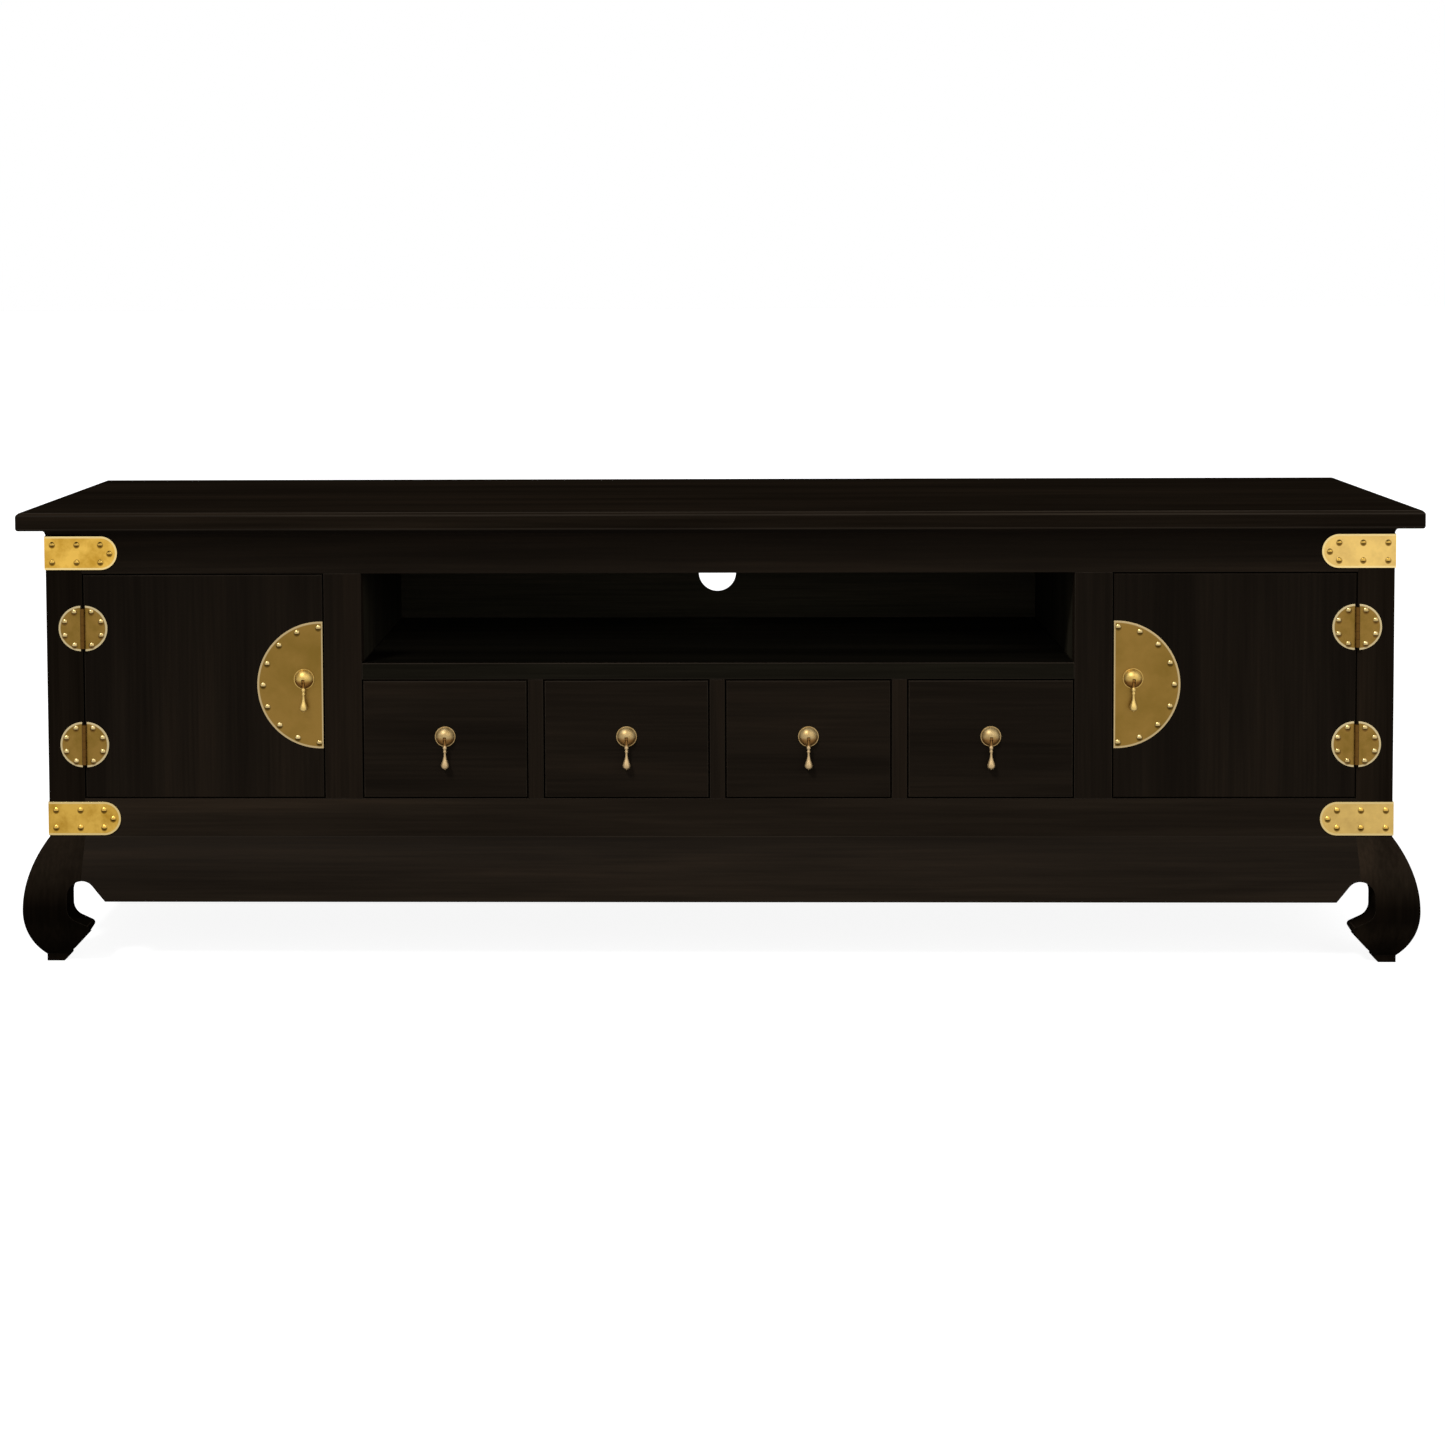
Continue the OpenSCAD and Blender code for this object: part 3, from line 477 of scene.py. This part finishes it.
finishOf.update({f"drawer_{i}_box": boxWood for i in drawers})
for name in ("media_shelf", "back_panel", "partition_left", "partition_right"):
    finishOf[name] = nicheWood
for side in sides:
    finishOf["front_post_" + side] = postWood
    finishOf["rear_post_" + side] = postWood
slotOf = {name: "inside_wood" for name, finish in finishOf.items() if finish is boxWood}
for name in ("rear_rail", "rear_apron", "back_panel", "bottom_board", "partition_left", "partition_right"):
    slotOf[name] = "back_wood"

grainShift = {"step": 1.7, "wornEdge": 40, "boxEdge": 50}    # so that no two boards have the same figure
edgeWearAndHighlights = {}
boxEdges = {}
for grain in "xyz":
    edgeWearAndHighlights[grain] = woodMaterial("edgeWood_" + grain, wornEdge, grain, grainShift["wornEdge"])
    boxEdges[grain] = woodMaterial("edgeBoxWood_" + grain, boxWood, grain, grainShift["boxEdge"])

shift = 0
for grain, widths in boards.items():
    for name, width in widths.items():
        shift += grainShift["step"]
        finish = finishOf.get(name, espresso)
        piece = mergedCopy(name, "eased_" + name)
        face = woodMaterial("wood_" + name, finish, grain, shift, paintedShading.get(name, ()))
        edges = boxEdges if finish is boxWood else edgeWearAndHighlights
        paint(piece, face, edges[grain])
        soften(piece, width)
print("wood finished")


# Brass finishes

brassLook = {
    "cloud": {"Detail": 4.0, "Roughness": 0.6},
    "scratches": {"Scale": 900.0, "Detail": 2.0},
    "stainSpan": (0.32, 0.6),
    "glossSpan": (0.3, 0.7),
    "glossSpread": (-0.05, 0.08),   # around a finish's roughness
    "rimHeight": 2.5,
    "amberReach": 0.012,            # painted shade under the boss: a drop is darker (amber) from its pin down to here
    "amberFade": 0.003,
    "bump": (0.12, 0.0002),
}
brassFinish = {
    "strap": {
        "colour": (0.72, 0.44, 0.08, 1), "stain": (0.46, 0.25, 0.028, 1), "rim": (0.74, 0.56, 0.24, 1),
        "patina": (0.13, 0.062, 0.006, 1), "roughness": 0.34, "blotches": 34.0,
        "dimming": (0.3, 0.5, 0.72),      # painted shade on the lower straps: heights from and to, tone at the lower one
        "paling": (-0.9, 0.9, 0.4),       # painted light, paler towards the right: left to right, share of the rim's colour at the right
    },
    "moon": {
        "colour": (0.22, 0.128, 0.028, 1), "stain": (0.17, 0.1, 0.018, 1), "rim": (0.4, 0.3, 0.15, 1),
        "patina": (0.05, 0.028, 0.004, 1), "roughness": 0.4, "blotches": 16.0,
    },
    "nail": {
        "colour": (0.5, 0.38, 0.17, 1), "stain": (0.38, 0.27, 0.1, 1), "rim": (0.55, 0.34, 0.07, 1),
        "patina": (0.06, 0.03, 0.004, 1), "roughness": 0.34, "blotches": 34.0,
        "underside": (-0.1, -0.45),       # painted shade where the faces turn down, from and to
    },
    "drawerPull": {
        "colour": (0.38, 0.275, 0.125, 1), "stain": (0.31, 0.2, 0.07, 1), "rim": (0.41, 0.29, 0.145, 1),
        "patina": (0.19, 0.09, 0.02, 1), "roughness": 0.46, "blotches": 140.0, "metal": 0.8,
        "underside": (0.1, -0.35),
    },
    "pin": {
        "colour": (0.14, 0.07, 0.02, 1), "stain": (0.07, 0.035, 0.01, 1), "roughness": 0.45,
        "blotches": 34.0,
    },
}
brassFinish["hinge"] = dict(
    brassFinish["moon"],
    rim=(0.46, 0.37, 0.2, 1),
    patina=(0.1, 0.048, 0.01, 1),
    blotches=60.0,
)
brassFinish["doorPull"] = dict(
    brassFinish["drawerPull"],
    colour=(0.5, 0.35, 0.11, 1),
    stain=(0.4, 0.25, 0.06, 1),
    rim=(0.54, 0.38, 0.13, 1),
    metal=1.0,
)
fittings = {
    "hingeApart": 0.0845,               # from the middle between a door's two hinges to each
    "leafShift": 0.0023,                # from the pin to the middle of a leaf's round
    "leafRadius": 0.033,
    "leafNails": 0.026,                 # radius of the ring of nails, and their turns in degrees
    "leafTurns": (-67.5, -22.5, 22.5, 67.5),
    "slotFade": (0.0036, 0.0024),       # patina along the knuckle
    "moonRadius": 0.092,
    "moonNails": 0.0835,
    "moonTurns": range(-88, 89, 22),
    "moonLine": (0.0024, 0.0014),       # rim along the straight edge
    "plateSeats": 0.8,                  # how dark the painted shadows below the nails are
    "strapReach": 0.1056,
    "strapHalf": 0.02425,               # half a strap's height
    "strapNails": (0.0116, 0.0471, 0.08135),
    "strapNailsUp": 0.01275,
    "strapTipNail": 0.0946,
    "strapSeats": 0.92,
    "strapNailsFrom": (0.13, 0.16),     # nails this far above and below the middle are in straps
    "rimWidth": 0.0028,
    "rimFade": 0.0006,
    "seatRadius": 0.0041,
    "seatFade": (0.0012, -0.0006),
    "seatDrop": 0.0014,                 # the painted shadow shows below its nail
    "smoothUpTo": 40,
}
strapLow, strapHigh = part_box("corner_straps")
strapMiddle = (strapLow[2] + strapHigh[2]) / 2


def ring(radius, turns, shift=0.0):
    return [
        (shift + radius * math.cos(math.radians(turn)), radius * math.sin(math.radians(turn)))
        for turn in turns
    ]


leafSpots = ring(fittings["leafNails"], fittings["leafTurns"], fittings["leafShift"])
moonSpots = ring(fittings["moonNails"], fittings["moonTurns"])
strapSpots = [
    (along, up)
    for along in fittings["strapNails"]
    for up in (-fittings["strapNailsUp"], fittings["strapNailsUp"])
]
strapSpots.append((fittings["strapTipNail"], 0))


def flatPoint(tree, across, up):
    point = addNode(tree, "ShaderNodeCombineXYZ")
    tree.links.new(across, point.inputs[0])
    tree.links.new(up, point.inputs[1])
    return point.outputs[0]


def reachFrom(tree, point, spot):
    reach = addNode(tree, "ShaderNodeVectorMath", {"operation": "DISTANCE"})
    tree.links.new(point, reach.inputs[0])
    reach.inputs[1].default_value = (spot[0], spot[1], 0)
    return reach.outputs["Value"]


# painted shadows: a dark disc under each nail, moved down
def paintedNailShadows(tree, point, spots, shadowDarkness):
    reaches = [reachFrom(tree, point, (along, up - fittings["seatDrop"])) for along, up in spots]
    least = reaches[0]
    for reach in reaches[1:]:
        least = calc(tree, "MINIMUM", least, reach)
    fadeFrom, fadeTo = (fittings["seatRadius"] + fade for fade in fittings["seatFade"])
    return calc(tree, "MULTIPLY", ramped(tree, least, fadeFrom, fadeTo, smooth=True), shadowDarkness)


def rimOf(tree, reach, radius):
    edge = radius - fittings["rimWidth"]
    return ramped(tree, reach, edge - fittings["rimFade"], edge + fittings["rimFade"], smooth=True)


def upFromPair(tree, height, middle, apart):
    fromMiddle = calc(tree, "SUBTRACT", height, middle)
    return calc(tree, "SUBTRACT", fromMiddle, calc(tree, "MULTIPLY", calc(tree, "SIGN", fromMiddle), apart))


# Two masks for each kind of fitting: where it has the rim's colour, and the painted shadows below its nails
# (on the hinges also the patina along the knuckle)

def hingeMasks(tree, place):
    pinX, _, middle = pinOf["door_right"]
    fromPin = calc(tree, "ABSOLUTE", calc(tree, "SUBTRACT", calc(tree, "ABSOLUTE", place[0]), pinX))
    point = flatPoint(tree, fromPin, upFromPair(tree, place[2], middle, fittings["hingeApart"]))
    rim = rimOf(tree, reachFrom(tree, point, (fittings["leafShift"], 0)), fittings["leafRadius"])
    slot = ramped(tree, fromPin, *fittings["slotFade"], smooth=True)
    return rim, calc(tree, "MAXIMUM", slot, paintedNailShadows(tree, point, leafSpots, fittings["plateSeats"]))


def moonMasks(tree, place):
    low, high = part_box("half_moon_plate_right")
    middleX = high[0] - fittings["moonRadius"]
    middleZ = (low[2] + high[2]) / 2
    across = calc(tree, "SUBTRACT", calc(tree, "ABSOLUTE", place[0]), middleX)
    point = flatPoint(tree, across, calc(tree, "SUBTRACT", place[2], middleZ))
    rim = rimOf(tree, reachFrom(tree, point, (0, 0)), fittings["moonRadius"])
    lineFrom, lineTo = (low[0] - middleX + fade for fade in fittings["moonLine"])
    line = ramped(tree, across, lineFrom, lineTo, smooth=True)
    return calc(tree, "MAXIMUM", rim, line), paintedNailShadows(tree, point, moonSpots, fittings["plateSeats"])


def strapMasks(tree, place):
    onFront = calc(tree, "SUBTRACT", strapHigh[0], calc(tree, "ABSOLUTE", place[0]))
    onSide = calc(tree, "SUBTRACT", place[1], strapLow[1])
    reach = calc(tree, "MAXIMUM", onFront, onSide)
    up = upFromPair(tree, place[2], strapMiddle, strapHigh[2] - strapMiddle - fittings["strapHalf"])
    roundFrom = fittings["strapReach"] - fittings["strapHalf"]
    along = calc(tree, "MAXIMUM", reach, roundFrom)
    rim = rimOf(tree, reachFrom(tree, flatPoint(tree, along, up), (roundFrom, 0)), fittings["strapHalf"])
    return rim, paintedNailShadows(tree, flatPoint(tree, reach, up), strapSpots, fittings["strapSeats"])


def nailMasks(tree, place):
    # the nails in the straps have the rim's colour, those in the plates don't
    fromMiddle = calc(tree, "ABSOLUTE", calc(tree, "SUBTRACT", place[2], strapMiddle))
    return ramped(tree, fromMiddle, *fittings["strapNailsFrom"]), None


def brassMaterial(name, finish, masks=None):
    material, tree, surface = newTree(name)
    coords = coordinates(tree)
    place = split(tree, coords["Object"])
    cloud = noise(tree, coords["Object"], Scale=finish["blotches"], **brassLook["cloud"])
    height = noise(tree, coords["Object"], **brassLook["scratches"])
    colour = mixed(tree, ramped(tree, cloud, *brassLook["stainSpan"]), finish["stain"], finish["colour"])
    # painted light: the straps paler towards the right
    if finish.get("paling"):
        left, right, share = finish["paling"]
        colour = mixed(tree, ramped(tree, place[0], left, right, 0.0, share), colour, finish["rim"])
    if masks:
        rim, dark = masks(tree, place)
        colour = mixed(tree, rim, colour, finish["rim"])
        height = calc(tree, "ADD", height, calc(tree, "MULTIPLY", rim, brassLook["rimHeight"]))
        # dark holds the painted shadows below the nails, and on the hinges also the patina along the knuckle
        if dark is not None:
            colour = mixed(tree, dark, colour, finish["patina"])
    # painted shade where the faces turn down
    if finish.get("underside"):
        facingUp = split(tree, coords["Normal"])[2]
        under = ramped(tree, facingUp, *finish["underside"], smooth=True)
        colour = mixed(tree, under, colour, finish["patina"])
    # painted shade on a drop's top, under its boss
    if finish.get("pinHeight"):
        pinShadeFrom = finish["pinHeight"] - brassLook["amberReach"]
        pinShade = ramped(tree, place[2], pinShadeFrom, pinShadeFrom + brassLook["amberFade"])
        colour = mixed(tree, pinShade, colour, finish["patina"])
    # painted shade: the lower straps darker
    if finish.get("dimming"):
        low, high, lowTone = finish["dimming"]
        colour = scaled(tree, colour, ramped(tree, place[2], low, high, lowTone, 1.0))
    surface.inputs["Metallic"].default_value = finish.get("metal", 1.0)
    smoothest, roughest = (finish["roughness"] + spread for spread in brassLook["glossSpread"])
    gloss = ramped(tree, cloud, *brassLook["glossSpan"], smoothest, roughest)
    dress(tree, surface, colour, gloss, height, brassLook["bump"])
    return material


def rimTone(name, **changes):
    finish = brassFinish[name]
    return dict(finish, colour=finish["rim"], stain=finish["rim"], **changes)


doorDropTone = rimTone("doorPull", underside=None, pinHeight=pinOf["door_drop_left"][2])
drawerDropTone = rimTone("drawerPull", underside=None, pinHeight=pinOf["drawer_1_drop"][2])
brass = {
    "strap": brassMaterial("strapBrass", brassFinish["strap"], strapMasks),
    "strapEdge": brassMaterial("strapEdgeBrass", rimTone("strap", paling=None)),
    "hinge": brassMaterial("hingeBrass", brassFinish["hinge"], hingeMasks),
    "moon": brassMaterial("moonBrass", brassFinish["moon"], moonMasks),
    "plateEdge": brassMaterial("plateEdgeBrass", rimTone("moon", blotches=34.0)),
    "nail": brassMaterial("nailBrass", brassFinish["nail"], nailMasks),
    "drawerPull": brassMaterial("drawerPullBrass", brassFinish["drawerPull"]),
    "doorPull": brassMaterial("doorPullBrass", brassFinish["doorPull"]),
    "doorDrop": brassMaterial("doorDropBrass", doorDropTone),
    "drawerDrop": brassMaterial("drawerDropBrass", drawerDropTone),
    "pin": brassMaterial("pinBrass", brassFinish["pin"]),
}
metalParts = [
    # finish, edge finish, slot, width of the softened edge if it gets one, nodes
    ("strap", "strapEdge", "bright_brass", 0.0004, ["corner_straps"]),
    ("hinge", "plateEdge", "aged_brass", None, ["post_hinge_leaves"]),
    ("hinge", "plateEdge", "aged_brass", None, [f"door_hinge_leaves_{side}" for side in sides]),
    ("moon", "plateEdge", "aged_brass", None, [f"half_moon_plate_{side}" for side in sides]),
    ("doorPull", "doorPull", "bright_brass", 0.0003, [f"door_pull_mount_{side}" for side in sides]),
    ("drawerPull", "drawerPull", "bright_brass", 0.0003, [f"drawer_{i}_pull_mount" for i in drawers]),
    ("nail", "nail", "aged_brass", None, ["frame_nails", "door_nails_left", "door_nails_right"]),
]
for finish, edgeFinish, slotName, width, names in metalParts:
    for name in names:
        piece = mergedCopy(name, "eased_" + name)
        paint(piece, brass[finish], brass[edgeFinish])
        if width:
            soften(piece, width)
        else:
            smooth(piece, fittings["smoothUpTo"])
paint(nodes["hinge_pins"], brass["pin"])
print("brass finished")


# Catches and strike plates with their screws

catchFinish = {
    "plastic": {
        "light": (0.11, 0.07, 0.035, 1), "dark": (0.075, 0.045, 0.02, 1), "metal": 0.0, "roughness": 0.45,
    },
    "steel": {
        "light": (0.55, 0.53, 0.5, 1), "dark": (0.38, 0.36, 0.33, 1), "metal": 1.0, "roughness": 0.32,
    },
    "cloud": {"Scale": 120.0, "Detail": 4.0},
    "toneSpan": (0.35, 0.65),
    "glossSpan": (0.3, 0.7),
    "glossSpread": 0.1,
    "bump": (0.1, 0.0002),
    "catchEdge": 0.0002,       # widths of the softened edges
    "strikeEdge": 0.0003,
    "screwEdge": 0.00009,
    "screwEdgeSteps": 3,
    "screwSides": 24,
    "screwRadius": 0.0026,
    "screwHeight": 0.0009,
    "screwRise": 0.00018,      # stays under the 0.3 mm between a strike plate and its catch
    "screwInset": 0.007,
    "screwSmooth": 40,
    "slotWidth": 0.0007,
    "slotDepth": 0.00014,
    "bladeHeight": 0.001,
    "bladeLength": 0.0104,     # longer than a screw head is wide
}


def plainMaterial(name, finish):
    material, tree, surface = newTree(name)
    cloud = noise(tree, coordinates(tree)["Object"], **catchFinish["cloud"])
    colour = mixed(tree, ramped(tree, cloud, *catchFinish["toneSpan"]), finish["dark"], finish["light"])
    surface.inputs["Metallic"].default_value = finish["metal"]
    roughest = finish["roughness"] + catchFinish["glossSpread"]
    gloss = ramped(tree, cloud, *catchFinish["glossSpan"], finish["roughness"], roughest)
    dress(tree, surface, colour, gloss, cloud, catchFinish["bump"])
    return material


def screwHead():
    rise = catchFinish["screwRise"]
    height = catchFinish["screwHeight"]
    deselectAll()
    bpy.ops.mesh.primitive_cylinder_add(
        vertices=catchFinish["screwSides"], radius=catchFinish["screwRadius"], depth=height,
        rotation=(math.pi / 2, 0, 0), location=(0, rise - height / 2, 0),
    )
    head = bpy.context.object
    soften(head, catchFinish["screwEdge"], catchFinish["screwEdgeSteps"], material=0)
    deselectAll()
    bladeMiddle = rise - catchFinish["slotDepth"] + catchFinish["bladeHeight"] / 2
    bpy.ops.mesh.primitive_cube_add(
        size=1, scale=(catchFinish["slotWidth"], catchFinish["bladeHeight"], catchFinish["bladeLength"]),
        location=(0, bladeMiddle, 0),
    )
    cutAway(head, bpy.context.object)
    applyPlace()
    return head


catchPlastic = plainMaterial("catchPlastic", catchFinish["plastic"])
strikeSteel = plainMaterial("strikeSteel", catchFinish["steel"])
catches = mergedCopy("magnetic_catches", "eased_magnetic_catches")
paint(catches, catchPlastic)
soften(catches, catchFinish["catchEdge"], material=0)
head = screwHead()
for side in sides:
    name = "catch_strike_" + side
    strike = mergedCopy(name, "eased_" + name)
    paint(strike, strikeSteel)
    soften(strike, catchFinish["strikeEdge"], material=0)
    low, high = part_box(name)
    for i, x in enumerate((low[0] + catchFinish["screwInset"], high[0] - catchFinish["screwInset"])):
        screw = newObject(f"strike_screw_{side}_{i + 1}", head.data.copy())
        pick(screw)
        screw.location = (x, high[1], (low[2] + high[2]) / 2)
        applyPlace()
        paint(screw, strikeSteel)
        bpy.ops.object.shade_smooth_by_angle(angle=math.radians(catchFinish["screwSmooth"]))
        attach(screw, bodyOf[name])
bpy.data.objects.remove(head)
print("catches finished")


# Drops of the pulls, turned on a lathe

perMetre = 1000
dropShape = {
    # in millimetres; the profile's points are radius and distance below the pin
    "profile": [
        (0, 1.2), (1.7, 2), (1.9, 4), (1.75, 8), (1.8, 10.4), (2.7, 11.6), (3.1, 13.2), (2.9, 14.6),
        (2.1, 15.6), (1.75, 16.6), (2.3, 17.8), (2.5, 18.8), (2.2, 19.8), (1.65, 20.8), (1.55, 22.5),
        (1.75, 25), (2.3, 28), (3.2, 31), (4.3, 34), (5.2, 36.4), (5.65, 38.4), (5.6, 40.2), (4.9, 42),
        (3.6, 43.3), (2.2, 43.9), (1.4, 44.2), (1.3, 44.6), (0.8, 45), (0, 45),
    ],
    "steps": 32,
    "poleReach": 0.04,      # closes the seam and the two poles
    "eyeRadius": 2.95,
    "eyeWidth": 3.9,
    "eyeSides": 40,
    "eyeEdge": 0.4,
    "eyeEdgeSteps": 2,
    "boreRadius": 1.12,     # the pin and its play
    "boreLength": 10,
    "boreSides": 24,
    "smoothUpTo": 50,
}


def latheDrop(pieceName, pin):
    deselectAll()
    bpy.ops.mesh.primitive_plane_add(size=1 / perMetre, location=(0, 0, 0))
    piece = bpy.context.object
    piece.name = pieceName
    editAll()
    bpy.ops.mesh.merge(type="CENTER")
    radius, below = dropShape["profile"][0]
    bpy.ops.transform.translate(value=(radius / perMetre, 0, -below / perMetre))
    for nextRadius, nextBelow in dropShape["profile"][1:]:
        step = ((nextRadius - radius) / perMetre, 0, (below - nextBelow) / perMetre)
        bpy.ops.mesh.extrude_vertices_move(TRANSFORM_OT_translate={"value": step})
        radius, below = nextRadius, nextBelow
    bpy.ops.mesh.select_all(action="SELECT")
    bpy.ops.mesh.spin(steps=dropShape["steps"], angle=2 * math.pi, center=(0, 0, 0), axis=(0, 0, 1))
    bpy.ops.mesh.select_all(action="SELECT")
    bpy.ops.mesh.remove_doubles(threshold=dropShape["poleReach"] / perMetre)
    bpy.ops.mesh.normals_make_consistent(inside=False)
    leaveEdit()

    alongPin = (0, math.pi / 2, 0)
    bpy.ops.mesh.primitive_cylinder_add(
        vertices=dropShape["eyeSides"], radius=dropShape["eyeRadius"] / perMetre,
        depth=dropShape["eyeWidth"] / perMetre, rotation=alongPin,
    )
    eye = bpy.context.object
    editAll()
    eyeEdge = dropShape["eyeEdge"] / perMetre
    bpy.ops.mesh.bevel(offset=eyeEdge, segments=dropShape["eyeEdgeSteps"], affect="EDGES")
    leaveEdit()
    applyPlace()
    bpy.ops.mesh.primitive_cylinder_add(
        vertices=dropShape["boreSides"], radius=dropShape["boreRadius"] / perMetre,
        depth=dropShape["boreLength"] / perMetre, rotation=alongPin,
    )
    cutAway(eye, bpy.context.object)
    pick(piece)
    eye.select_set(True)
    bpy.ops.object.join()
    piece.location = pin
    applyPlace()
    bpy.ops.object.shade_smooth_by_angle(angle=math.radians(dropShape["smoothUpTo"]))
    return piece


for name in [f"door_drop_{side}" for side in sides] + [f"drawer_{i}_drop" for i in drawers]:
    drop = latheDrop("turned_" + name, pinOf[name])
    paint(drop, brass["doorDrop" if name.startswith("door") else "drawerDrop"])
    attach(drop, bodyOf[name])
    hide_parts(name)
print("drops turned")
